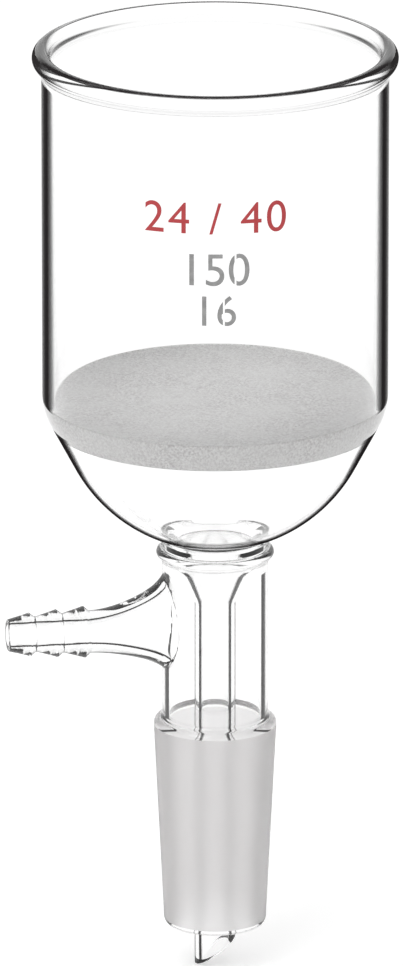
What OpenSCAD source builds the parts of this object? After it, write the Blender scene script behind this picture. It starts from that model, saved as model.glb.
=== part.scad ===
// Fritted glass filter funnel with a ground joint and a serrated vacuum side arm.
// Millimetres. +Z runs up the funnel's axis, and the side arm points along -X.
// The origin is on the axis, in the plane of the ground joint's large end.

/* [Bowl] */
// Outside diameter of the straight barrel
barrel_od = 67.2; // [55:0.1:80]
// Depth from the top of the rim to the frit's top face
bowl_depth = 70.4; // [45:0.1:110]
// Wall of the barrel
bowl_wall = 1.7; // [1.2:0.1:2.6]
// Wall of the round bottom
bottom_wall = 1; // [0.8:0.1:2]
// How much smaller than the barrel the round bottom's radius is
bottom_inset = 2.5; // [1:0.1:4]
// Depth of the corner where the barrel starts to taper, below the centre of the round bottom
taper_drop = 3; // [1:0.1:5]
// Radius that rounds the barrel into the tapered seat, on the outside
seat_round_r = 12; // [6:0.5:16]

/* [Rim] */
// Radius of the fire-polished bead, which is flush with the bore on the inside
rim_bead_r = 1.75; // [1.4:0.05:2.2]
// Radius of the hollow under the bead, on the outside
rim_hollow_r = 3.8; // [2:0.1:6]

/* [Frit] */
// Depth of the frit's top face below the centre of the round bottom
frit_drop = 1.3; // [0:0.1:3]
// Thickness of the sintered disc
frit_t = 5; // [3:0.1:8]
// Radius of the glass fillet that seals the disc's top edge to the wall
seal_fillet_r = 1.2; // [0.6:0.1:2]

/* [Drip stem] */
// Outside diameter of the stem
stem_od = 8; // [7:0.1:9]
// Wall of the stem
stem_wall = 1.3; // [1:0.1:1.6]
// Height of the outlet cone, from the stem up to the underside of the bowl
outlet_h = 11.5; // [9:0.1:14]
// Half angle of the outlet cone
outlet_angle = 20; // [16:0.1:24]
// Radius that rounds the outlet cone into the bowl's floor
outlet_blend_r = 4; // [2:0.1:6]
// How far the tip reaches below the joint
tip_drop = 8.4; // [6.5:0.1:20]
// Angle of the cut across the tip
tip_angle = 35; // [0:1:38]

/* [Jacket] */
// Outside diameter of the jacket around the stem
jacket_od = 20.6; // [19.6:0.1:21.4]
// Wall of the jacket
jacket_wall = 1.3; // [1:0.1:1.6]
// Length from the joint's large end to the lowest point of the bowl
jacket_len = 36.6; // [34:0.1:60]
// Outside diameter of the collar at the seal between jacket and bowl
collar_od = 23; // [22:0.1:23.8]
// Radius of the collar's rounded edge
collar_edge_r = 0.8; // [0.5:0.1:1.1]
// Depth of the collar's edge below the lowest point of the bowl
collar_drop = 1.5; // [1.3:0.1:2.4]
// Radius of the hollow under the collar
collar_hollow_r = 2.6; // [1.5:0.1:3.6]
// Radius of the fillet between the jacket and the bowl
neck_fillet_r = 1.5; // [0.8:0.1:1.8]
// Depth of the vacuum space's rounded top below the lowest point of the bowl
annulus_drop = 1.3; // [1:0.1:4]

/* [Ground joint] */
// Diameter of the joint's large end
joint_d = 24; // [23:0.1:26]
// Length of the ground taper
joint_len = 40; // [30:1:45]
// Length in which the taper loses one unit of diameter
joint_taper = 10; // [10:1:14]
// Wall of the joint
joint_wall = 1.8; // [1.4:0.1:2.2]
// Radius of the fire-polished lower edge
joint_edge_r = 1.2; // [0.9:0.1:1.4]
// Angle of the shoulder between the jacket and the joint
shoulder_angle = 70; // [50:1:80]

/* [Side arm] */
// Height of the arm's axis above the joint's large end
arm_z = 19.8; // [19:0.1:21]
// Distance from the funnel's axis to the arm's end
arm_reach = 41; // [38.5:0.1:50]
// Outside diameter of the arm behind the serrations
arm_od = 8.3; // [7.8:0.1:9]
// Diameter of the arm's bore
arm_bore = 4.4; // [4:0.1:4.8]
// Distance from the funnel's axis to where the arm starts to flare
flare_start = 24.8; // [22:0.1:25.5]
// Growth of the arm's radius at its root, upwards
flare_up = 8; // [5:0.1:8.5]
// Growth of the arm's radius at its root, downwards
flare_down = 4.6; // [3:0.1:7]
// Growth of the arm's radius at its root, sideways
flare_side = 3.2; // [2:0.1:3.6]
// Number of serrations
barb_count = 3; // [2:1:3]
// Spacing of the serrations
barb_pitch = 5.35; // [4.5:0.05:5.5]
// Diameter of the largest serration, next to the jacket
barb_crest_d = 10.1; // [9.4:0.1:11]
// Diameter of the groove behind the next serration
barb_groove_d = 7.7; // [7:0.1:8.2]
// Diameter that each serration loses to the one before
barb_step = 0.8; // [0.5:0.1:1]
// Length of each serration's steep face
barb_face_len = 1.1; // [0.6:0.1:1.6]
// Diameter of the arm's end
arm_end_d = 6.4; // [6:0.1:6.8]

/* [Hidden] */
$fn = 96;
glass_colour = [0.86, 0.91, 0.93, 0.45];
frit_colour = [0.78, 0.78, 0.77];

barrel_r = barrel_od / 2;
bore_r = barrel_r - bowl_wall;
bottom_r = barrel_r - bottom_inset;
bottom_bore_r = bottom_r - bottom_wall;
bottom_z = jacket_len + bottom_r;
frit_top_z = bottom_z - frit_drop;
frit_low_z = frit_top_z - frit_t;
taper_z = bottom_z - taper_drop;
rim_z = frit_top_z + bowl_depth - rim_bead_r;

stem_r = stem_od / 2;
stem_bore_r = stem_r - stem_wall;
outlet_z = jacket_len - outlet_h;
joint_r = joint_d / 2;
joint_low_r = joint_r - joint_len / joint_taper / 2;
joint_low_z = -joint_len - joint_edge_r;
tip_z = joint_low_z - tip_drop;
jacket_r = jacket_od / 2;
jacket_bore_r = jacket_r - jacket_wall;
collar_z = jacket_len - collar_drop;
annulus_top_z = jacket_len - annulus_drop;
arm_r = arm_od / 2;
arm_bore_r = arm_bore / 2;
arm_wall = arm_r - arm_bore_r;
first_crest = flare_start + barb_face_len;

// The flare of the arm's root: facets round it, rings along it, and the shape of its curve.
flare_facets = 40;
flare_rings = 12;
flare_gentle = [0.75, 1.8];
flare_steep = [0.25, 12];
// The short way that one solid runs into the next, so that they join or cut cleanly.
lap = 0.6;
// How much narrower the flare's inside starts than the arm's bore, so that the bore stays round to its end.
bore_step = 0.1;
// Length in which the arm's bore runs on into the flare.
bore_run = 6;

// Point where a line from [r, z] touches a circle of radius R about [0, centre_z], on its underside.
function touch_point(r, z, R, centre_z) =
    let (a = atan2(z - centre_z, r) - acos(R / norm([r, z - centre_z])))
    [R * cos(a), centre_z + R * sin(a)];

// A bowl outline filled to the axis: barrel of radius r, tapered seat and round bottom of radius R.
// An arc of radius round_r takes off the corner between the barrel and the seat.
module bowl_outline(r, R, round_r, top) {
    touch = touch_point(r, taper_z, R, bottom_z);
    slope = atan2(r - touch.x, taper_z - touch.y);
    arc_z = taper_z + round_r * tan(slope / 2);
    centre = [r - round_r, arc_z];
    seat_start = centre + round_r * [cos(slope), -sin(slope)];
    difference() {
        union() {
            polygon([[0, touch.y], touch, [r, taper_z], [r, top], [0, top]]);
            intersection() {
                translate([0, bottom_z]) circle(R);
                translate([0, touch.y - R]) square([R, R + lap]);
            }
        }
        difference() {
            polygon([seat_start, [r, arc_z], [r + lap, arc_z], [r + lap, seat_start.y]]);
            translate(centre) circle(round_r);
        }
    }
}

// A curved step from radius small, above, to radius big at z, filled to the axis.
module step_outline(small, big, z) {
    r = (big - small) / 2 / (1 - cos(shoulder_angle));
    half = r * sin(shoulder_angle);
    intersection() {
        translate([0, z]) square([big, half]);
        union() {
            translate([0, z]) square([big - r, half]);
            translate([big - r, z]) circle(r);
        }
    }
    difference() {
        translate([0, z + half]) square([small + r, half]);
        translate([small + r, z + 2 * half]) circle(r);
    }
}

// Height of that step.
function step_h(small, big) = (big - small) * sin(shoulder_angle) / (1 - cos(shoulder_angle));

// A rounded edge that stands out from a straight wall of radius wall_r, with a hollow of radius hollow_r
// that runs from it down into the wall.
module edge_outline(wall_r, centre, edge_r, hollow_r) {
    drop = sqrt(pow(hollow_r + edge_r, 2) - pow(wall_r + hollow_r - centre.x, 2));
    hollow = [wall_r + hollow_r, centre.y - drop];
    touch = centre + (hollow - centre) * edge_r / (hollow_r + edge_r);
    translate(centre) circle(edge_r);
    difference() {
        polygon([[wall_r - lap, hollow.y], [wall_r, hollow.y], touch, centre, [wall_r - lap, centre.y]]);
        translate(hollow) circle(hollow_r);
    }
}

// The outlet in the bowl's floor: a cone from the stem's bore, rounded into the round bottom.
module outlet_outline() {
    along = [sin(outlet_angle), cos(outlet_angle)];
    across = [cos(outlet_angle), -sin(outlet_angle)];
    start = [stem_bore_r, outlet_z];
    from = start + outlet_blend_r * across - [0, bottom_z];
    b = from * along;
    t = -b - sqrt(b * b - from * from + pow(bottom_bore_r + outlet_blend_r, 2));
    blend = from + t * along;
    floor_touch = blend * bottom_bore_r / norm(blend) + [0, bottom_z];
    cone_touch = start + t * along;
    difference() {
        polygon([[0, outlet_z], start, cone_touch, blend + [0, bottom_z], floor_touch,
                 [0, floor_touch.y + lap]]);
        translate(blend + [0, bottom_z]) circle(outlet_blend_r);
    }
}

// Everything inside the bowl and the stem.
module bowl_space() {
    bowl_outline(bore_r, bottom_bore_r, seat_round_r - bowl_wall, rim_z);
    outlet_outline();
    translate([0, tip_z - lap]) square([stem_bore_r, outlet_z - tip_z + lap]);
}

// The outside of the stem where it stands in the jacket.
module stem_outline() {
    spread = (annulus_top_z - outlet_z) * tan(outlet_angle);
    polygon([[0, joint_low_z - lap], [stem_r, joint_low_z - lap], [stem_r, outlet_z],
             [stem_r + spread, annulus_top_z], [0, annulus_top_z]]);
}

// The vacuum space between the stem and the jacket, open at the joint's lower end.
module annulus_space() {
    low_r = joint_low_r - joint_wall;
    top_r = joint_r - joint_wall;
    step_top = step_h(jacket_bore_r, top_r);
    spread = (annulus_top_z - outlet_z) * tan(outlet_angle);
    round_r = (jacket_bore_r - stem_r - spread) / 2;
    difference() {
        union() {
            translate([0, step_top - lap]) square([jacket_bore_r, annulus_top_z - step_top + lap]);
            step_outline(jacket_bore_r, top_r, 0);
            polygon([[0, 0], [top_r, 0], [low_r, -joint_len], [low_r, joint_low_z - lap],
                     [0, joint_low_z - lap]]);
        }
        stem_outline();
    }
    translate([jacket_bore_r - round_r, annulus_top_z]) circle(round_r);
}

// The fillet between the jacket and the underside of the bowl.
module neck_fillet() {
    centre = [jacket_r + neck_fillet_r, 0];
    drop = sqrt(pow(bottom_r + neck_fillet_r, 2) - pow(centre.x, 2));
    bowl_touch = [centre.x, -drop] * bottom_r / (bottom_r + neck_fillet_r);
    difference() {
        translate([0, bottom_z])
            polygon([[jacket_r - lap, -drop], [jacket_r, -drop], [centre.x, -drop], bowl_touch,
                     [jacket_r - lap, bowl_touch.y]]);
        translate([centre.x, bottom_z - drop]) circle(neck_fillet_r);
    }
}

// The jacket, its collar and the ground joint, filled to the axis.
module jacket_outline() {
    step_top = step_h(jacket_r, joint_r);
    wall_top = bottom_z - sqrt(pow(bottom_r, 2) - pow(jacket_r, 2)) + lap;
    translate([0, step_top - lap]) square([jacket_r, wall_top - step_top + lap]);
    edge_outline(jacket_r, [collar_od / 2 - collar_edge_r, collar_z], collar_edge_r, collar_hollow_r);
    neck_fillet();
    step_outline(jacket_r, joint_r, 0);
    polygon([[0, 0], [joint_r, 0], [joint_low_r, -joint_len], [0, -joint_len]]);
    intersection() {
        union() {
            translate([joint_low_r - joint_edge_r, -joint_len]) circle(joint_edge_r);
            translate([0, joint_low_z]) square([joint_low_r - joint_edge_r, joint_edge_r]);
        }
        translate([0, joint_low_z]) square([joint_low_r, joint_edge_r]);
    }
}

// The ring of glass that wets the frit's top edge.
module seal_fillet() {
    difference() {
        translate([bore_r - seal_fillet_r, frit_top_z])
            square([seal_fillet_r + bowl_wall / 2, seal_fillet_r]);
        translate([bore_r - seal_fillet_r, frit_top_z + seal_fillet_r]) circle(seal_fillet_r);
    }
}

// The section that is turned about the funnel's axis.
module turned_section() {
    difference() {
        union() {
            bowl_outline(barrel_r, bottom_r, seat_round_r, rim_z);
            jacket_outline();
            translate([0, tip_z]) square([stem_r, jacket_len - tip_z]);
        }
        bowl_space();
    }
    edge_outline(barrel_r, [bore_r + rim_bead_r, rim_z], rim_bead_r, rim_hollow_r);
    seal_fillet();
}

// How far the flare's curve has grown at share u of its length, from 0 to 1.
function flare_growth(u) =
    flare_gentle[0] * pow(u, flare_gentle[1]) + flare_steep[0] * pow(u, flare_steep[1]);

// One ring of the flare, [x, y, z] about the arm's axis. At u = 1 it has sunk into the wall of radius
// wall_r by the lap, so that the flare crosses the wall's surface cleanly.
function flare_ring(u, r, root, wall_r) = [
    for (i = [0 : flare_facets - 1])
    let (
        a = 360 * i / flare_facets,
        root_z = sin(a) > 0 ? root[1] : root[2],
        y = cos(a) * (r + (root[0] - r) * flare_growth(u)),
        z = sin(a) * (r + (root_z - r) * flare_growth(u)),
        reach = sqrt(pow(wall_r - lap, 2) - pow(root[0] * cos(a), 2))
    )
    [-flare_start + u * (flare_start - reach), y, z]
];

// The trumpet that blends the arm into the jacket. r is its radius at the arm, root its half width,
// its height upwards and its height downwards at the wall of radius wall_r.
module arm_flare(r, root, wall_r) {
    end_x = lap - sqrt(pow(wall_r - lap, 2) - pow(root[0], 2));
    last = flare_ring(1, r, root, wall_r);
    rings = concat(
        [for (p = flare_ring(0, r, root, wall_r)) p - [barb_face_len, 0, 0]],
        [for (k = [0 : flare_rings]) each flare_ring(k / flare_rings, r, root, wall_r)],
        [for (p = last) [end_x, p.y, p.z]]
    );
    n = flare_facets;
    sides = [
        for (k = [0 : flare_rings + 1], i = [0 : n - 1])
        let (j = (i + 1) % n, a = k * n)
        each [[a + i, a + n + i, a + j], [a + j, a + n + i, a + n + j]]
    ];
    start_cap = [for (i = [0 : n - 1]) i];
    end_cap = [for (i = [n - 1 : -1 : 0]) (flare_rings + 2) * n + i];
    translate([0, 0, arm_z]) polyhedron(concat(rings), concat(sides, [start_cap], [end_cap]));
}

// The serrated end of the arm, as [radius, distance from the funnel's axis].
module barb_section() {
    edge_r = (arm_end_d / 2 - arm_bore_r) / 2;
    crests = [
        for (i = [0 : barb_count - 1])
        let (
            at = first_crest + i * barb_pitch,
            crest = (barb_crest_d - i * barb_step) / 2,
            groove = (barb_groove_d - i * barb_step) / 2
        )
        each i < barb_count - 1
            ? [[crest, at], [groove, at + barb_pitch - barb_face_len]]
            : [[crest, at]]
    ];
    polygon(concat(
        [[0, flare_start - lap], [arm_r - lap, flare_start - lap], [arm_r - lap, flare_start]],
        crests,
        [[arm_end_d / 2, arm_reach - edge_r], [0, arm_reach - edge_r]]
    ));
    translate([arm_end_d / 2 - edge_r, arm_reach - edge_r]) circle(edge_r);
}

// Turns a child about the arm's axis, with its second coordinate running out along -X.
module about_arm() {
    translate([0, 0, arm_z]) rotate([0, -90, 0]) children();
}

// The slanting cut across the drip tip: its point is under the side arm.
module tip_cut() {
    length = stem_od / cos(tip_angle) + 2 * lap;
    translate([-stem_r, 0, tip_z]) rotate([0, -tip_angle, 0])
        translate([-lap, -stem_od, -stem_od]) cube([length, 2 * stem_od, stem_od]);
}

module glass_body() {
    root = [arm_r + flare_side, arm_r + flare_up, arm_r + flare_down];
    inner_root = root - [arm_wall, arm_wall, arm_wall];
    color(glass_colour) difference() {
        union() {
            rotate_extrude() turned_section();
            arm_flare(arm_r, root, jacket_r);
            about_arm() rotate_extrude() barb_section();
        }
        rotate_extrude() annulus_space();
        arm_flare(arm_bore_r - bore_step, inner_root, jacket_bore_r);
        about_arm() translate([0, 0, flare_start - bore_run]) cylinder(r = arm_bore_r, h = arm_reach);
        tip_cut();
    }
}

module frit_disc() {
    color(frit_colour) rotate_extrude() intersection() {
        bowl_outline(bore_r, bottom_bore_r, seat_round_r - bowl_wall, rim_z);
        translate([0, frit_low_z]) square([barrel_r, frit_t]);
    }
}

glass_body();
frit_disc();
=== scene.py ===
"""Dresses the fritted glass filter funnel: clear borosilicate glass with painted shade at its edges, ground
glass, a sintered disc, and numbers in fired enamel."""
import math

import bpy
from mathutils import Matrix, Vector


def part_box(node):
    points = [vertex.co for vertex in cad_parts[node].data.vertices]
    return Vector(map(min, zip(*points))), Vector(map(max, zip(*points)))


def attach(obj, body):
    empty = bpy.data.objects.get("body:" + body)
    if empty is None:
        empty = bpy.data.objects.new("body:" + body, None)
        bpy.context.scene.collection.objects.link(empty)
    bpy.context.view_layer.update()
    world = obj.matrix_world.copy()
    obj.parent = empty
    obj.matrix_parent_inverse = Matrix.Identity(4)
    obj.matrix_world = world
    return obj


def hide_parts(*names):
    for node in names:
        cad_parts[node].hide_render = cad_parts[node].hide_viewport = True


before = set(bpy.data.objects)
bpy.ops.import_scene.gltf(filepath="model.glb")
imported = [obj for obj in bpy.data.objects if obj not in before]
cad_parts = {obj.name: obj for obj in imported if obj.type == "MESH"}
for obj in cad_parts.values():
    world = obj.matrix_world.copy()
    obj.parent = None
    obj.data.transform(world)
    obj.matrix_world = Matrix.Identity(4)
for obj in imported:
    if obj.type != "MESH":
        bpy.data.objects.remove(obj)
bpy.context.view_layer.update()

MM = 0.001

# ---------------------------------------------------------------- sizes, in millimetres
# The frame gives the ends of the funnel and the frit's faces; the rest are the glassblower's own sizes.
FRIT_LOW_Z, FRIT_TOP_Z = (corner.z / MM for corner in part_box("frit_disc"))
TIP_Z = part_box("glass_body")[0].z / MM
RIM_TOP_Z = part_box("glass_body")[1].z / MM
ARM_REACH = -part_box("glass_body")[0].x / MM

BARREL_R = 33.6
BOWL_WALL = 1.7
BOTTOM_WALL = 1.0
BOTTOM_R = 31.1
BOTTOM_Z = 67.7
TAPER_Z = 64.7
SEAT_ROUND_R = 12.0
SEAL_FILLET_R = 0.25
RIM_BEAD_R = 1.75
RIM_HOLLOW_R = 3.8

STEM_R = 4.0
STEM_BORE_R = 2.7
OUTLET_Z = 25.1
OUTLET_ANGLE = 20
OUTLET_BEND_R = 2.5
OUTLET_BLEND_R = 4.0
TIP_ANGLE = 35
TIP_EDGE = 0.22

JACKET_R = 10.3
JACKET_WALL = 1.3
ANNULUS_TOP_Z = 35.3
COLLAR_R = 11.5
COLLAR_EDGE_R = 0.8
COLLAR_Z = 35.1
COLLAR_HOLLOW_R = 2.6
NECK_FILLET_R = 1.5
NECK_HEIGHT = 5.0

JOINT_R = 12.0
JOINT_LEN = 40.0
JOINT_TAPER = 10.0
JOINT_WALL = 1.8
JOINT_EDGE_R = 1.2
JOINT_MOUTH_R = 0.5
SHOULDER_ANGLE = 70

ARM_Z = 19.8
ARM_R = 4.15
ARM_BORE_R = 2.2
FLARE_START = 24.8
FLARE_SIDE, FLARE_UP, FLARE_DOWN = 3.2, 8.0, 4.6
BARB_COUNT = 3
BARB_PITCH = 5.35
BARB_CREST_R = 5.05
BARB_GROOVE_R = 3.85
BARB_STEP = 0.4
BARB_FACE_LEN = 1.1
ARM_END_R = 3.2
# A serration's section, as (radius, place along the arm) from its crest and from the foot of its steep face.
BARB_CREST = ((-0.22, 0.7), (-0.05, 0.28), (0, 0), (-0.1, -0.2), (-0.35, -0.4))
BARB_FOOT = ((0.3, 0.35), (0.08, 0.12))
BARB_GROOVE_LEN = 0.2
# Where the arm's bore has rings of its own, and how the trumpet is divided.
BORE_RINGS = (36, 32, 28)
FLARE_RINGS = 28
END_SHARES = (0.8, 0.6, 0.4, 0.2, 0.05)

# The numbers face the camera, which is turned a little to the arm's side and looks down.
VIEW_TURN, VIEW_RISE = math.radians(-8.8), math.radians(17.47)

# How far the glass reaches into the disc, so that the two meet with no air between them.
FUSED = 0.12
# How far a bore runs on past the end that it opens, so that the cut is clean.
PAST_END = 1
# How far the arm's ends stand inside the wall that they join or open.
ARM_SINK = 0.6
# The numbers stand on the barrel by the thickness of their enamel, and are bent round it in narrow strips.
ENAMEL = 0.03
STRIP = 0.8
TURNS = 160
ARM_SIDES = 48
SMOOTH_ANGLE = math.radians(33)
# Vertices nearer than this are one, in millimetres, and the finest step of a cut, in metres.
SAME_PLACE = 0.002
CUT_STEP = 1e-7
# How near a vertex or face lies to a wall or plane that it belongs to.
ON_WALL = 0.1
ON_PLANE = 0.001


# ---------------------------------------------------------------- drawing a section, stroke by stroke
def on_circle(centre, radius, degrees):
    """A point (r, z) on a circle."""
    turn = math.radians(degrees)
    return (centre[0] + radius * math.cos(turn), centre[1] + radius * math.sin(turn))


def angle_of(centre, point):
    """The angle of a point seen from a centre, in degrees."""
    return math.degrees(math.atan2(point[1] - centre[1], point[0] - centre[0]))


def deselect():
    bpy.ops.object.select_all(action="DESELECT")


def take(piece):
    """Makes one piece the only one selected, and active."""
    deselect()
    piece.select_set(True)
    bpy.context.view_layer.objects.active = piece


def draw_section(name, start, strokes):
    """Draws a closed outline in the XZ plane from one vertex: lines are extruded and arcs are spun.
    A stroke is (point, steps) for a line, or (centre, degrees, steps) for an arc."""
    deselect()
    bpy.ops.mesh.primitive_plane_add(size=MM, location=(start[0] * MM, 0, start[1] * MM))
    piece = bpy.context.object
    piece.name = name
    bpy.ops.object.transform_apply(location=True, rotation=True, scale=True)
    bpy.ops.object.mode_set(mode="EDIT")
    bpy.ops.mesh.select_mode(type="VERT")
    bpy.ops.mesh.select_all(action="SELECT")
    bpy.ops.mesh.merge(type="CENTER")
    at = start
    for stroke in strokes:
        if len(stroke) == 2:
            (r, z), steps = stroke
            step = ((r - at[0]) / steps * MM, 0, (z - at[1]) / steps * MM)
            for _ in range(steps):
                bpy.ops.mesh.extrude_vertices_move(TRANSFORM_OT_translate={"value": step})
            at = (r, z)
        else:
            centre, degrees, steps = stroke
            bpy.ops.mesh.spin(
                steps=steps,
                angle=math.radians(degrees),
                center=(centre[0] * MM, 0, centre[1] * MM),
                axis=(0, 1, 0),
            )
            radius = math.dist(centre, at)
            at = on_circle(centre, radius, angle_of(centre, at) + degrees)
    bpy.ops.mesh.select_all(action="SELECT")
    bpy.ops.mesh.remove_doubles(threshold=SAME_PLACE * MM)
    bpy.ops.object.mode_set(mode="OBJECT")
    return piece


def turn_solid(piece, axis_point, axis, steps):
    """Spins a closed outline once round an axis into a closed solid."""
    take(piece)
    bpy.ops.object.mode_set(mode="EDIT")
    bpy.ops.mesh.select_all(action="SELECT")
    bpy.ops.mesh.spin(steps=steps, angle=math.tau, center=axis_point, axis=axis)
    bpy.ops.mesh.select_all(action="SELECT")
    bpy.ops.mesh.remove_doubles(threshold=SAME_PLACE * MM)
    bpy.ops.mesh.normals_make_consistent(inside=False)
    bpy.ops.object.mode_set(mode="OBJECT")
    return piece


# ---------------------------------------------------------------- the turned glass
def seat_corner(radius, bottom_radius, round_radius):
    """Where the barrel rounds into the tapered seat: centre of the round, the seat's slope, and where the
    seat meets the round bottom."""
    out = math.hypot(radius, TAPER_Z - BOTTOM_Z)
    turn = math.degrees(math.atan2(TAPER_Z - BOTTOM_Z, radius) - math.acos(bottom_radius / out))
    touch = on_circle((0, BOTTOM_Z), bottom_radius, turn)
    slope = math.degrees(math.atan2(radius - touch[0], TAPER_Z - touch[1]))
    centre = (radius - round_radius, TAPER_Z + round_radius * math.tan(math.radians(slope / 2)))
    return centre, slope, touch


def seat_radius(radius, bottom_radius, round_radius, height):
    """Radius of the wall at a height near the seat."""
    centre, slope, touch = seat_corner(radius, bottom_radius, round_radius)
    start = on_circle(centre, round_radius, -slope)
    if height >= centre[1]:
        return radius
    if height > start[1]:
        return centre[0] + math.sqrt(round_radius**2 - (height - centre[1]) ** 2)
    return touch[0] + (start[0] - touch[0]) * (height - touch[1]) / (start[1] - touch[1])


def edge_strokes(wall_r, centre, edge_r, hollow_r, start_angle, steps):
    """Over a rounded edge, from an angle on it, and down the hollow that runs from it into a straight wall."""
    across = wall_r + hollow_r - centre[0]
    drop = math.sqrt((hollow_r + edge_r) ** 2 - across**2)
    dip = math.degrees(math.atan2(drop, across))
    hollow = (wall_r + hollow_r, centre[1] - drop)
    return [(centre, -start_angle - dip, steps), (hollow, dip, steps // 2)]


def outside_strokes():
    """From the top of the bore over the rim's bead, down the barrel, seat and round bottom, over the neck and
    the collar, and down jacket, shoulder and ground joint."""
    rim = (BARREL_R - BOWL_WALL + RIM_BEAD_R, RIM_TOP_Z - RIM_BEAD_R)
    centre, slope, touch = seat_corner(BARREL_R, BOTTOM_R, SEAT_ROUND_R)
    neck_r = JACKET_R + NECK_FILLET_R
    neck = (neck_r, BOTTOM_Z - math.sqrt((BOTTOM_R + NECK_FILLET_R) ** 2 - neck_r**2))
    bottom_end = angle_of((0, BOTTOM_Z), neck)
    collar = (COLLAR_R - COLLAR_EDGE_R, COLLAR_Z)
    collar_start = math.degrees(math.acos((JACKET_R - collar[0]) / COLLAR_EDGE_R))
    step_r = (JOINT_R - JACKET_R) / 2 / (1 - math.cos(math.radians(SHOULDER_ANGLE)))
    step_top = 2 * step_r * math.sin(math.radians(SHOULDER_ANGLE))
    low_r = JOINT_R - JOINT_LEN / JOINT_TAPER / 2
    return [
        *edge_strokes(BARREL_R, rim, RIM_BEAD_R, RIM_HOLLOW_R, 180, 28),
        ((BARREL_R, centre[1]), 1),
        (centre, -slope, 10),
        (touch, 4),
        ((0, BOTTOM_Z), bottom_end - angle_of((0, BOTTOM_Z), touch), 36),
        (neck, 180 - angle_of(neck, (0, BOTTOM_Z)), 8),
        (on_circle(collar, COLLAR_EDGE_R, collar_start), 1),
        *edge_strokes(JACKET_R, collar, COLLAR_EDGE_R, COLLAR_HOLLOW_R, collar_start, 18),
        ((JACKET_R, step_top), 26),
        ((JACKET_R + step_r, step_top), SHOULDER_ANGLE, 8),
        ((JOINT_R - step_r, 0), -SHOULDER_ANGLE, 8),
        ((low_r, -JOINT_LEN), 30),
        ((low_r - JOINT_EDGE_R, -JOINT_LEN), -90, 8),
    ]


def vacuum_space_strokes():
    """Up the joint's bore, over the rounded top of the vacuum space and down the stem to below its tip."""
    bore_r = JACKET_R - JACKET_WALL
    top_r = JOINT_R - JOINT_WALL
    low_r = JOINT_R - JOINT_LEN / JOINT_TAPER / 2 - JOINT_WALL
    step_r = (top_r - bore_r) / 2 / (1 - math.cos(math.radians(SHOULDER_ANGLE)))
    step_top = 2 * step_r * math.sin(math.radians(SHOULDER_ANGLE))
    spread = (ANNULUS_TOP_Z - OUTLET_Z) * math.tan(math.radians(OUTLET_ANGLE))
    round_r = (bore_r - STEM_R - spread) / 2
    low_z = -JOINT_LEN - JOINT_EDGE_R
    reach = OUTLET_BEND_R * math.tan(math.radians(OUTLET_ANGLE / 2))
    bend_end = on_circle((STEM_R, OUTLET_Z), reach, 90 - OUTLET_ANGLE)
    return [
        ((low_r + JOINT_MOUTH_R, low_z), 1),
        ((low_r + JOINT_MOUTH_R, low_z + JOINT_MOUTH_R), -90, 4),
        ((top_r, 0), 20),
        ((top_r - step_r, 0), SHOULDER_ANGLE, 6),
        ((bore_r + step_r, step_top), -SHOULDER_ANGLE, 6),
        ((bore_r, ANNULUS_TOP_Z), 26),
        ((bore_r - round_r, ANNULUS_TOP_Z), 180, 12),
        (bend_end, 8),
        ((STEM_R + OUTLET_BEND_R, OUTLET_Z - reach), OUTLET_ANGLE, 6),
        ((STEM_R, TIP_Z - PAST_END), 12),
        ((STEM_BORE_R, TIP_Z - PAST_END), 1),
    ]


def bowl_inside_strokes():
    """Up the stem's bore and outlet cone, round the bottom, past the disc and its seal, up to the rim."""
    bore_r = BARREL_R - BOWL_WALL
    bottom_bore_r = BOTTOM_R - BOTTOM_WALL
    round_r = SEAT_ROUND_R - BOWL_WALL
    cone = math.radians(OUTLET_ANGLE)
    bend_r = OUTLET_BEND_R + STEM_R - STEM_BORE_R
    reach = bend_r * math.tan(cone / 2)
    across = Vector((math.cos(cone), -math.sin(cone)))
    along = Vector((math.sin(cone), math.cos(cone)))
    start = Vector((STEM_BORE_R, OUTLET_Z))
    offset = start + OUTLET_BLEND_R * across - Vector((0, BOTTOM_Z))
    b = offset.dot(along)
    t = -b - math.sqrt(b * b - offset.dot(offset) + (bottom_bore_r + OUTLET_BLEND_R) ** 2)
    blend = start + OUTLET_BLEND_R * across + t * along
    cone_touch = start + t * along
    floor_turn = angle_of((0, BOTTOM_Z), blend)
    centre, slope, touch = seat_corner(bore_r, bottom_bore_r, round_r)
    wall = (bore_r, bottom_bore_r, round_r)
    under = seat_radius(*wall, FRIT_LOW_Z)
    held = seat_radius(*wall, FRIT_TOP_Z)
    fillet_z = FRIT_TOP_Z + SEAL_FILLET_R
    fillet = (seat_radius(*wall, fillet_z) - SEAL_FILLET_R, fillet_z)
    seat_start = on_circle(centre, round_r, -slope)
    return [
        ((STEM_BORE_R, OUTLET_Z - reach), 12),
        ((STEM_BORE_R + bend_r, OUTLET_Z - reach), -OUTLET_ANGLE, 6),
        (tuple(cone_touch), 6),
        (tuple(blend), floor_turn + OUTLET_ANGLE, 10),
        ((0, BOTTOM_Z), angle_of((0, BOTTOM_Z), touch) - floor_turn, 36),
        ((under, FRIT_LOW_Z - FUSED), 3),
        ((under - FUSED, FRIT_LOW_Z + FUSED), 1),
        ((seat_start[0] - FUSED, seat_start[1]), 2),
        ((held - FUSED, FRIT_TOP_Z - FUSED), 4),
        ((fillet[0], FRIT_TOP_Z - FUSED), 1),
        ((fillet[0], FRIT_TOP_Z), 1),
        (fillet, 90, 8),
        ((bore_r, RIM_TOP_Z - RIM_BEAD_R), 1),
    ]


# ---------------------------------------------------------------- the side arm
def round_ring(radius, distance):
    """A round ring of the arm, at a distance from the funnel's axis. A ring gives a point for each angle."""
    return lambda a: (-distance, math.cos(a) * radius, math.sin(a) * radius)


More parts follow.
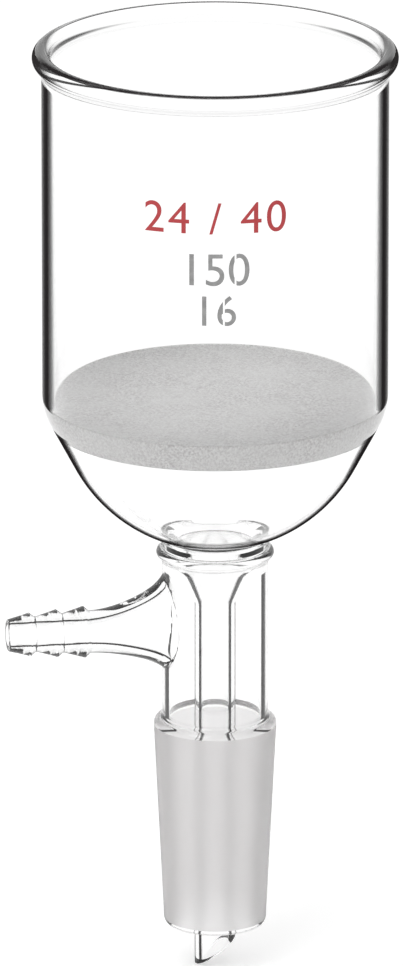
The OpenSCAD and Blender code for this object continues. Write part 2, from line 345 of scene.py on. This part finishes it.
def flare_ring(u, radius, root, wall_r, share=1.0):
    """A ring of the trumpet that the arm opens into. At u = 1 it lies on the cylinder of radius wall_r, and a
    share under 1 draws it in on that cylinder."""
    growth = 0.75 * u**1.8 + 0.25 * u**12

    def place(a):
        high = root[1] if math.sin(a) > 0 else root[2]
        y = share * math.cos(a) * (radius + (root[0] - radius) * growth)
        z = share * math.sin(a) * (radius + (high - radius) * growth)
        reach = math.sqrt(wall_r**2 - (share * root[0] * math.cos(a)) ** 2)
        return (-FLARE_START + u * (FLARE_START - reach), y, z)

    return place


def draw_out(name, rings):
    """A closed solid with flat ends: a disc is extruded once for each ring, and each ring is put in place."""
    deselect()
    bpy.ops.mesh.primitive_circle_add(
        vertices=ARM_SIDES, radius=MM, fill_type="NGON", rotation=(0, math.pi / 2, 0)
    )
    piece = bpy.context.object
    piece.name = name
    bpy.ops.object.transform_apply(location=True, rotation=True, scale=True)
    bpy.ops.object.mode_set(mode="EDIT")
    bpy.ops.mesh.select_all(action="SELECT")
    for _ in rings[1:]:
        bpy.ops.mesh.extrude_region_move(TRANSFORM_OT_translate={"value": (MM, 0, 0)})
    bpy.ops.object.mode_set(mode="OBJECT")
    for vertex in piece.data.vertices:
        ring = rings[round(vertex.co.x / MM)]
        x, y, z = ring(math.atan2(vertex.co.z, vertex.co.y))
        vertex.co = (x * MM, y * MM, (z + ARM_Z) * MM)
    bpy.ops.object.mode_set(mode="EDIT")
    bpy.ops.mesh.select_all(action="SELECT")
    bpy.ops.mesh.normals_make_consistent(inside=False)
    bpy.ops.object.mode_set(mode="OBJECT")
    return piece


def arm_outside():
    """The serrated arm and its trumpet, ending inside the jacket's wall."""
    edge_r = (ARM_END_R - ARM_BORE_R) / 2
    tip = (ARM_END_R - edge_r, ARM_REACH - edge_r)
    rings = [round_ring(*on_circle(tip, edge_r, turn)) for turn in (90, 72, 54, 36, 18, 0)]
    for i in reversed(range(BARB_COUNT)):
        crest_at = FLARE_START + BARB_FACE_LEN + i * BARB_PITCH
        crest = BARB_CREST_R - i * BARB_STEP
        foot = BARB_GROOVE_R - (i - 1) * BARB_STEP if i else ARM_R
        foot_at = crest_at - BARB_FACE_LEN
        rings += [round_ring(crest + out, crest_at + along) for out, along in BARB_CREST]
        rings += [round_ring(foot + out, foot_at + along) for out, along in BARB_FOOT]
        rings.append(round_ring(foot, foot_at - BARB_GROOVE_LEN if i else foot_at))
    root = (ARM_R + FLARE_SIDE, ARM_R + FLARE_UP, ARM_R + FLARE_DOWN)
    in_wall = JACKET_R - ARM_SINK
    rings += [flare_ring(k / FLARE_RINGS, ARM_R, root, in_wall) for k in range(1, FLARE_RINGS + 1)]
    rings += [flare_ring(1, ARM_R, root, in_wall, share) for share in END_SHARES]
    return draw_out("arm_outside", rings)


def arm_inside():
    """The arm's bore and the inside of its trumpet, from past the arm's end into the vacuum space."""
    edge_r = (ARM_END_R - ARM_BORE_R) / 2
    tip = (ARM_END_R - edge_r, ARM_REACH - edge_r)
    wall = ARM_R - ARM_BORE_R
    rings = [round_ring(tip[0], ARM_REACH + PAST_END)]
    rings += [round_ring(*on_circle(tip, edge_r, turn)) for turn in (90, 108, 126, 144, 162, 180)]
    rings += [round_ring(ARM_BORE_R, at) for at in BORE_RINGS]
    root = (ARM_R + FLARE_SIDE - wall, ARM_R + FLARE_UP - wall, ARM_R + FLARE_DOWN - wall)
    in_space = JACKET_R - JACKET_WALL - ARM_SINK
    rings += [flare_ring(k / FLARE_RINGS, ARM_BORE_R, root, in_space) for k in range(FLARE_RINGS + 1)]
    return draw_out("arm_inside", rings)


def work(piece, tool, operation):
    """Joins a piece with another, or cuts it with another, which is used up."""
    take(piece)
    change = piece.modifiers.new("join_or_cut", "BOOLEAN")
    change.operation = operation
    change.solver = "MANIFOLD"
    change.object = tool
    bpy.ops.object.modifier_apply(modifier=change.name)
    bpy.data.objects.remove(tool, do_unlink=True)


def select_vertices(piece, wanted):
    """In object mode, selects the vertices whose place in millimetres is wanted, with what they bound."""
    for part in (piece.data.polygons, piece.data.edges, piece.data.vertices):
        part.foreach_set("select", [False] * len(part))
    for vertex in piece.data.vertices:
        vertex.select = wanted(vertex.co / MM)


def cut_tip(piece):
    """Cuts the drip stem at a slant and closes its wall with a narrow rounded edge."""
    turn = math.radians(TIP_ANGLE)
    point = Vector((-STEM_R, 0, TIP_Z))
    normal = Vector((math.sin(turn), 0, -math.cos(turn)))

    def on_cut(p):
        return abs((p - point).dot(normal)) < ON_PLANE and p.z < -JOINT_LEN

    take(piece)
    select_vertices(piece, lambda p: p.z < 0 and math.hypot(p.x, p.y) < STEM_R + ON_WALL)
    bpy.ops.object.mode_set(mode="EDIT")
    bpy.ops.mesh.select_mode(type="VERT")
    bpy.ops.mesh.bisect(
        plane_co=point * MM, plane_no=normal, clear_outer=True, use_fill=False, threshold=CUT_STEP
    )
    bpy.ops.object.mode_set(mode="OBJECT")
    select_vertices(piece, on_cut)
    bpy.ops.object.mode_set(mode="EDIT")
    bpy.ops.mesh.select_mode(type="VERT")
    bpy.ops.mesh.bridge_edge_loops()
    bpy.ops.mesh.normals_make_consistent(inside=False)
    bpy.ops.object.mode_set(mode="OBJECT")
    select_vertices(piece, on_cut)
    bpy.ops.object.mode_set(mode="EDIT")
    bpy.ops.mesh.select_mode(type="FACE")
    bpy.ops.mesh.region_to_loop()
    bpy.ops.mesh.bevel(offset=TIP_EDGE * MM, segments=3, affect="EDGES", clamp_overlap=True)
    bpy.ops.object.mode_set(mode="OBJECT")


def blow_glass():
    """The funnel's glass as one closed mesh."""
    strokes = outside_strokes() + vacuum_space_strokes() + bowl_inside_strokes()
    glass = draw_section("funnel_glass", (BARREL_R - BOWL_WALL, RIM_TOP_Z - RIM_BEAD_R), strokes)
    turn_solid(glass, (0, 0, 0), (0, 0, 1), TURNS)
    cut_tip(glass)
    work(glass, arm_outside(), "UNION")
    work(glass, arm_inside(), "DIFFERENCE")
    take(glass)
    bpy.ops.object.shade_smooth_by_angle(angle=SMOOTH_ANGLE)
    return glass


# ---------------------------------------------------------------- numbers fired on the barrel
def cut_upright(piece, x):
    """Cuts through all of a flat piece along an upright line."""
    bpy.ops.mesh.select_all(action="SELECT")
    bpy.ops.mesh.bisect(plane_co=(x * MM, 0, 0), plane_no=(1, 0, 0), threshold=CUT_STEP)


def print_numbers(name, numbers, height, low_z, gap, slit):
    """Plain numbers of a height, cut into upright strips, bent round the barrel and given the enamel's
    thickness. A slit leaves the round figures open down the middle, as a stencil does."""
    deselect()
    bpy.ops.object.text_add()
    piece = bpy.context.object
    piece.name = name
    piece.data.body = numbers
    piece.data.align_x = "CENTER"
    piece.data.space_character = gap
    piece.data.resolution_u = 8
    take(piece)
    bpy.ops.object.convert(target="MESH")
    piece = bpy.context.object
    scale = height * MM / piece.dimensions.y
    piece.scale = (scale, scale, scale)
    piece.rotation_euler = (math.pi / 2, 0, 0)
    bpy.ops.object.transform_apply(location=True, rotation=True, scale=True)
    half = piece.dimensions.x / MM / 2
    low_edge = min(vertex.co.z for vertex in piece.data.vertices)
    bpy.ops.object.mode_set(mode="EDIT")
    bpy.ops.mesh.select_mode(type="VERT")
    bpy.ops.mesh.select_all(action="SELECT")
    bpy.ops.mesh.remove_doubles(threshold=SAME_PLACE * MM)
    strips = math.ceil(2 * half / STRIP)
    for i in range(1, strips):
        cut_upright(piece, -half + i * STRIP)
    pitch = 2 * half / len(numbers)
    slits = [(i + 0.5) * pitch - half for i, figure in enumerate(numbers) if slit and figure in "0689"]
    for x in slits:
        cut_upright(piece, x - slit / 2)
        cut_upright(piece, x + slit / 2)
    bpy.ops.object.mode_set(mode="OBJECT")
    for face in piece.data.polygons:
        face.select = any(abs(face.center.x / MM - x) < slit / 2 for x in slits)
    bpy.ops.object.mode_set(mode="EDIT")
    bpy.ops.mesh.select_mode(type="FACE")
    bpy.ops.mesh.delete(type="FACE")
    bpy.ops.object.mode_set(mode="OBJECT")
    radius = BARREL_R + ENAMEL / 2
    for vertex in piece.data.vertices:
        turn = VIEW_TURN + vertex.co.x / MM / radius
        height_up = vertex.co.z - low_edge + low_z * MM
        vertex.co = (math.sin(turn) * radius * MM, -math.cos(turn) * radius * MM, height_up)
    coat = piece.modifiers.new("enamel", "SOLIDIFY")
    coat.thickness = ENAMEL * MM
    coat.offset = 1
    take(piece)
    bpy.ops.object.modifier_apply(modifier=coat.name)
    return piece


# ---------------------------------------------------------------- finishes, and the glass's painted edge shade
def colour(code):
    """An sRGB colour such as #BCBCBC as linear red, green, blue and alpha."""
    channels = [int(code[i : i + 2], 16) / 255 for i in (1, 3, 5)]
    return [c / 12.92 if c <= 0.04045 else ((c + 0.055) / 1.055) ** 2.4 for c in channels] + [1.0]


def add(tree, kind, inputs=None, **settings):
    """Adds a node with its settings. An input is a value, or another node's output to link."""
    node = tree.nodes.new(kind)
    for name, value in settings.items():
        setattr(node, name, value)
    for name, value in (inputs or {}).items():
        if isinstance(value, bpy.types.NodeSocket):
            tree.links.new(value, node.inputs[name])
        else:
            node.inputs[name].default_value = value
    return node


def new_material(name):
    """An empty node material and its output node."""
    material = bpy.data.materials.new(name)
    material.use_nodes = True
    material.node_tree.nodes.clear()
    return material, add(material.node_tree, "ShaderNodeOutputMaterial")


def ramp(node, stops):
    """Sets a colour ramp to grey values at positions."""
    elements = node.color_ramp.elements
    while len(elements) < len(stops):
        elements.new(0.5)
    for element, (position, value) in zip(elements, stops):
        element.position = position
        element.color = (value, value, value, 1)


GLASS_IOR = 1.473
# Light that meets a surface from inside at a slant over this, which is 1 - cos of the critical angle, stays in
# the glass and runs along it; from this slant on, curved walls are given painted shade at their edges.
STAYS_IN = 0.266
# How much more slant the round bottom needs for its painted dark edge, for each millimetre below the disc.
BOTTOM_SHADE_NARROWING = 0.0018
NO_PAINTED_SHADE = [(0.9, 0), (1, 0)]
IN_RIM = [(0.19, 0), (0.25, 0.9), (1, 0.9)]


def in_wall_painted_shade(full, none):
    """Stops for painted shade inside a wall: dark once light stays in, up to a slant, and none past another."""
    return [(STAYS_IN - 0.004, 0), (STAYS_IN, 0.6), (STAYS_IN + 0.006, 1), (full, 1), (none, 0)]


# How much painted shade each wall is given, by the slant at which it is seen: from inside the glass, then from
# outside.
PAINTED_EDGE_SHADE = {
    "borosilicate_painted_shade_general": (
        in_wall_painted_shade(0.31, 0.33),
        [(0.96, 0), (1, 0.3)],
    ),
    "borosilicate_painted_shade_barrel": (
        in_wall_painted_shade(0.31, 0.33),
        [(0.685, 0), (0.70, 0.3), (0.736, 0.8), (0.757, 1), (0.82, 0.97), (0.872, 0.8), (1, 0.3)],
    ),
    "borosilicate_painted_shade_bottom": (
        NO_PAINTED_SHADE,
        [(0.745, 0), (0.785, 0.8), (0.83, 1), (1, 1)],
    ),
    "borosilicate_painted_shade_neck": (
        NO_PAINTED_SHADE,
        [(0.88, 0), (0.95, 0.4), (1, 0.7)],
    ),
    "borosilicate_painted_shade_arm": (
        in_wall_painted_shade(0.34, 0.37),
        [(0.6, 0), (0.8, 0.4), (1, 0.8)],
    ),
    "borosilicate_painted_shade_jacket": (
        in_wall_painted_shade(0.31, 0.33),
        [(0.96, 0), (1, 0.3)],
    ),
    "borosilicate_painted_shade_stem": (
        in_wall_painted_shade(0.36, 0.39),
        [(0.65, 0), (0.78, 0.6), (1, 0.7)],
    ),
    "borosilicate_painted_shade_rim": (
        IN_RIM,
        [(0.75, 0), (0.9, 0.6), (1, 0.9)],
    ),
    "borosilicate_painted_shade_rim_crown": (
        IN_RIM,
        [(0.15, 0), (0.3, 0.95), (0.62, 0.95), (0.7, 0), (0.94, 0), (1, 0.6)],
    ),
    "borosilicate_painted_shade_rim_side": (
        IN_RIM,
        [(0.5, 0), (0.65, 0.95), (1, 1)],
    ),
}


def clear_glass(name):
    """Borosilicate 3.3: colourless and smooth, with painted shade mixed in at the slants where its walls look
    dark.
    """
    material, out = new_material(name)
    tree = material.node_tree
    inside = add(tree, "ShaderNodeNewGeometry").outputs["Backfacing"]
    slant = add(tree, "ShaderNodeLayerWeight", {"Blend": 0.5}).outputs["Facing"]
    if name == "borosilicate_painted_shade_bottom":
        # The round bottom's painted dark edge is made narrower towards the neck.
        place = add(tree, "ShaderNodeTexCoord").outputs["Object"]
        height = add(tree, "ShaderNodeSeparateXYZ", {"Vector": place}).outputs["Z"]
        shade_narrowing = add(
            tree,
            "ShaderNodeMath",
            {0: height, 1: BOTTOM_SHADE_NARROWING / MM, 2: -BOTTOM_SHADE_NARROWING * FRIT_LOW_Z},
            operation="MULTIPLY_ADD",
        )
        narrowed_slant = add(tree, "ShaderNodeMath", {0: slant, 1: shade_narrowing.outputs[0]}, operation="ADD")
        slant = narrowed_slant.outputs[0]
    from_inside, from_outside = [add(tree, "ShaderNodeValToRGB", {"Fac": slant}) for _ in range(2)]
    ramp(from_inside, PAINTED_EDGE_SHADE[name][0])
    ramp(from_outside, PAINTED_EDGE_SHADE[name][1])
    shade_share = add(
        tree,
        "ShaderNodeMix",
        {0: inside, 2: from_outside.outputs["Color"], 3: from_inside.outputs["Color"]},
        data_type="FLOAT",
    )
    clear = add(
        tree,
        "ShaderNodeBsdfPrincipled",
        {"Base Color": colour("#FFFFFF"), "Roughness": 0.0, "IOR": GLASS_IOR, "Transmission Weight": 1.0},
    )
    # Painted shade: a dark matt colour mixed into the clear glass by the slant ramps, standing in for its dark
    # edges.
    dark = add(tree, "ShaderNodeBsdfDiffuse", {"Color": colour("#2A2728")})
    both = add(tree, "ShaderNodeMixShader", {0: shade_share.outputs[0], 1: clear.outputs[0], 2: dark.outputs[0]})
    tree.links.new(both.outputs[0], out.inputs["Surface"])
    return material


def ground_glass():
    """The same glass, ground with fine silicon carbide on the cone: frosted, with faint turning marks."""
    material, out = new_material("borosilicate_ground")
    tree = material.node_tree
    place = add(tree, "ShaderNodeTexCoord").outputs["Object"]
    squeeze = add(tree, "ShaderNodeMapping", {"Vector": place, "Scale": (1, 1, 6)})
    grain = add(
        tree, "ShaderNodeTexNoise", {"Vector": squeeze.outputs[0], "Scale": 1 / (0.4 * MM), "Detail": 3.0}
    )
    bump = add(
        tree, "ShaderNodeBump", {"Strength": 0.25, "Distance": 0.02 * MM, "Height": grain.outputs["Fac"]}
    )
    shader = add(
        tree,
        "ShaderNodeBsdfPrincipled",
        {
            "Base Color": colour("#F4F2F2"),
            "Roughness": 0.55,
            "IOR": GLASS_IOR,
            "Transmission Weight": 0.8,
            "Normal": bump.outputs[0],
        },
    )
    tree.links.new(shader.outputs[0], out.inputs["Surface"])
    return material


def sintered_glass():
    """Crushed borosilicate sintered into a porous disc: matt, pale grey, with a fine sugary grain."""
    material, out = new_material("borosilicate_sintered")
    tree = material.node_tree
    place = add(tree, "ShaderNodeTexCoord").outputs["Object"]
    # Grains are 0.1 to 0.25 mm across; they are drawn at 0.45 mm, so that they show.
    grains = add(
        tree,
        "ShaderNodeTexNoise",
        {"Vector": place, "Scale": 1 / (0.45 * MM), "Detail": 4.0, "Roughness": 0.7},
    )
    clouds = add(tree, "ShaderNodeTexNoise", {"Vector": place, "Scale": 1 / (9 * MM), "Detail": 2.0})
    shade = add(tree, "ShaderNodeValToRGB", {"Fac": grains.outputs["Fac"]})
    ramp(shade, [(0.38, 0.0), (0.62, 1.0)])
    cloud = add(tree, "ShaderNodeValToRGB", {"Fac": clouds.outputs["Fac"]})
    ramp(cloud, [(0.35, 0.0), (0.65, 0.5)])
    mixed = add(
        tree,
        "ShaderNodeMix",
        {0: shade.outputs["Color"], 6: colour("#D2D0D0"), 7: colour("#FFFFFE")},
        data_type="RGBA",
    )
    clouded = add(
        tree,
        "ShaderNodeMix",
        {0: cloud.outputs["Color"], 6: mixed.outputs[2], 7: colour("#F4F4F3")},
        data_type="RGBA",
    )
    bump = add(
        tree, "ShaderNodeBump", {"Strength": 0.6, "Distance": 0.08 * MM, "Height": grains.outputs["Fac"]}
    )
    shader = add(
        tree,
        "ShaderNodeBsdfPrincipled",
        {"Base Color": clouded.outputs[2], "Roughness": 0.85, "IOR": GLASS_IOR, "Normal": bump.outputs[0]},
    )
    tree.links.new(shader.outputs[0], out.inputs["Surface"])
    return material


def fired_enamel(name, thick, thin):
    """Glass enamel screened on and fired at 560 degrees: matt and dense, and lighter where the coat is thin."""
    material, out = new_material(name)
    tree = material.node_tree
    place = add(tree, "ShaderNodeTexCoord").outputs["Object"]
    coat = add(tree, "ShaderNodeTexNoise", {"Vector": place, "Scale": 1 / (1.2 * MM), "Detail": 3.0})
    shade = add(
        tree,
        "ShaderNodeMix",
        {0: coat.outputs["Fac"], 6: colour(thick), 7: colour(thin)},
        data_type="RGBA",
    )
    shader = add(
        tree, "ShaderNodeBsdfPrincipled", {"Base Color": shade.outputs[2], "Roughness": 0.5, "IOR": 1.5}
    )
    tree.links.new(shader.outputs[0], out.inputs["Surface"])
    return material


# ---------------------------------------------------------------- the object
glass = blow_glass()
glass.data.materials.clear()
# Slots: clear glass with each part's painted edge shade, in the table's order, then ground glass and the
# sintered disc.
(
    GENERAL_PAINTED_SHADE,
    BARREL,
    BOTTOM,
    NECK,
    ARM,
    JACKET,
    STEM,
    RIM,
    RIM_CROWN,
    RIM_SIDE,
    GROUND,
    SINTERED,
) = range(12)
sintered = sintered_glass()
for finish in [clear_glass(name) for name in PAINTED_EDGE_SHADE] + [ground_glass(), sintered]:
    glass.data.materials.append(finish)

# Where the painted shade zones of the rim's bead end, as shares of its radius: the crown's height below the top
# and reach past the bore, and the side's lower end.
CROWN_DEPTH, CROWN_REACH, SIDE_DEPTH = 0.25, 0.7, 1.35
# How near a face's centre lies to the ground cone, the disc's seal and the barrel's outside to count as theirs.
ON_CONE, ON_SEAL, ON_BARREL = 0.3, 0.01, 0.5
SHOULDER_TOP_Z = 3
NECK_DROP = 1


def finish_at(spot):
    """The material slot of the glass at a place, in millimetres: ground, sintered, or clear with a part's
    painted shade.
    """
    out_r, z = math.hypot(spot.x, spot.y), spot.z
    bore_r = BARREL_R - BOWL_WALL
    if -JOINT_LEN < z < 0 and abs(out_r - JOINT_R - z / JOINT_TAPER / 2) < ON_CONE:
        return GROUND
    crown_low = RIM_TOP_Z - CROWN_DEPTH * RIM_BEAD_R
    if z > crown_low and out_r > bore_r + CROWN_REACH * RIM_BEAD_R:
        return RIM_CROWN
    if RIM_TOP_Z - SIDE_DEPTH * RIM_BEAD_R < z < crown_low and out_r > bore_r + RIM_BEAD_R:
        return RIM_SIDE
    if z > RIM_TOP_Z - 2 * RIM_BEAD_R:
        return RIM
    if FRIT_TOP_Z - FUSED < z < FRIT_TOP_Z + SEAL_FILLET_R and out_r < bore_r + ON_SEAL:
        return SINTERED
    if FRIT_TOP_Z < z < RIM_TOP_Z - RIM_BEAD_R - RIM_HOLLOW_R and out_r > BARREL_R - ON_BARREL:
        return BARREL
    if ARM_Z - FLARE_DOWN < z < ARM_Z + FLARE_UP + ARM_R and spot.x < -JACKET_R - ON_WALL:
        return ARM
    jacket_top = COLLAR_Z - COLLAR_HOLLOW_R
    cone_r = STEM_BORE_R + ON_WALL + (z - OUTLET_Z) * math.tan(math.radians(OUTLET_ANGLE))
    if OUTLET_Z < z < jacket_top and out_r < cone_r:
        return STEM
    outside_bottom = math.hypot(out_r, z - BOTTOM_Z) > BOTTOM_R - BOTTOM_WALL / 2
    if COLLAR_Z + NECK_HEIGHT < z < FRIT_LOW_Z and outside_bottom:
        return BOTTOM
    if jacket_top - NECK_DROP < z < FRIT_LOW_Z:
        return NECK
    if SHOULDER_TOP_Z < z < jacket_top and abs(out_r - JACKET_R) < ON_WALL:
        return JACKET
    if z < OUTLET_Z and out_r < STEM_R + ON_WALL:
        return STEM
    return GENERAL_PAINTED_SHADE


for face in glass.data.polygons:
    face.material_index = finish_at(face.center / MM)
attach(glass, "root")
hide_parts("glass_body")

red = fired_enamel("fired_enamel_red", "#B2383C", "#CA484C")
grey = fired_enamel("fired_enamel_grey", "#7C7C7C", "#B8B8B8")
for name, numbers, height, low_z, gap, slit, enamel in (
    ("upper_numbers", "24 / 40", 6.2, 109.3, 1.12, 0, red),
    ("middle_numbers", "150", 6.4, 99.0, 1.0, 0.35, grey),
    ("lower_numbers", "16", 6.0, 91.0, 1.0, 0.35, grey),
):
    mark = print_numbers(name, numbers, height, low_z, gap, slit)
    mark.data.materials.clear()
    mark.data.materials.append(enamel)
    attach(mark, "root")

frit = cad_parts["frit_disc"]
frit.data.materials.clear()
frit.data.materials.append(sintered)

# ---------------------------------------------------------------- studio
FLOOR_Z = TIP_Z * MM
VIEW_DISTANCE = 2.8
LENS = 536.3
TARGET = Vector((0, 0, 48.95 * MM))
SIDE_STEP = -2.65 * MM
SENSOR_WIDTH = 36
FLOOR_R = 4
LAMP_PLACE = (-0.9, -0.9, 1.4)
LAMP_TARGET = Vector((0, 0, 0.05))
LAMP_SIZE = 1.2
LAMP_POWER = 9.0
SURROUND_LIGHT = 0.7
FLOOR_GLOW = 0.45


def seen_rays(tree):
    """1 for rays that show the surroundings: the camera's own, mirrored ones and ones through glass."""
    path = add(tree, "ShaderNodeLightPath")
    first = add(
        tree,
        "ShaderNodeMath",
        {0: path.outputs["Is Camera Ray"], 1: path.outputs["Is Glossy Ray"]},
        operation="MAXIMUM",
    )
    return add(
        tree,
        "ShaderNodeMath",
        {0: first.outputs[0], 1: path.outputs["Is Transmission Ray"]},
        operation="MAXIMUM",
    ).outputs[0]


def light_studio():
    """A white surround, and a broad soft lamp above and to the left."""
    world = bpy.data.worlds.new("studio")
    bpy.context.scene.world = world
    world.use_nodes = True
    tree = world.node_tree
    tree.nodes.clear()
    seen = add(tree, "ShaderNodeBackground", {"Color": (1, 1, 1, 1), "Strength": 1.0})
    lighting = add(tree, "ShaderNodeBackground", {"Color": (1, 1, 1, 1), "Strength": SURROUND_LIGHT})
    both = add(tree, "ShaderNodeMixShader", {0: seen_rays(tree), 1: lighting.outputs[0], 2: seen.outputs[0]})
    out = add(tree, "ShaderNodeOutputWorld")
    tree.links.new(both.outputs[0], out.inputs["Surface"])
    bpy.ops.object.light_add(type="AREA", location=LAMP_PLACE)
    lamp = bpy.context.object
    lamp.name = "softbox"
    lamp.data.shape = "SQUARE"
    lamp.data.size = LAMP_SIZE
    lamp.data.energy = LAMP_POWER
    lamp.rotation_euler = (LAMP_TARGET - lamp.location).to_track_quat("-Z", "Y").to_euler()


def lay_floor():
    """A plain white floor that stays white to the eye and keeps the object's soft shadow."""
    bpy.ops.mesh.primitive_circle_add(vertices=96, radius=FLOOR_R, fill_type="NGON", location=(0, 0, FLOOR_Z))
    floor = bpy.context.object
    floor.name = "floor"
    material, out = new_material("white_studio_paper")
    tree = material.node_tree
    paper = add(tree, "ShaderNodeBsdfDiffuse", {"Color": colour("#E6E6E6")})
    glow = add(tree, "ShaderNodeEmission", {"Color": (1, 1, 1, 1), "Strength": FLOOR_GLOW})
    lit = add(tree, "ShaderNodeAddShader", {0: paper.outputs[0], 1: glow.outputs[0]})
    both = add(tree, "ShaderNodeMixShader", {0: seen_rays(tree), 1: paper.outputs[0], 2: lit.outputs[0]})
    tree.links.new(both.outputs[0], out.inputs["Surface"])
    floor.data.materials.append(material)


def set_camera():
    """A long lens, turned a little to the arm's side and looking down by 17 degrees."""
    towards = Vector(
        (
            math.sin(VIEW_TURN) * math.cos(VIEW_RISE),
            -math.cos(VIEW_TURN) * math.cos(VIEW_RISE),
            math.sin(VIEW_RISE),
        )
    )
    right = Vector((math.cos(VIEW_TURN), math.sin(VIEW_TURN), 0))
    aim = TARGET + SIDE_STEP * right
    bpy.ops.object.camera_add(location=aim + VIEW_DISTANCE * towards)
    camera = bpy.context.object
    camera.rotation_euler = (-towards).to_track_quat("-Z", "Y").to_euler()
    camera.data.sensor_width = SENSOR_WIDTH
    camera.data.lens = LENS
    camera.data.clip_start = 0.1
    camera.data.clip_end = 20
    bpy.context.scene.camera = camera


light_studio()
lay_floor()
set_camera()
bpy.context.scene.view_settings.view_transform = "Standard"
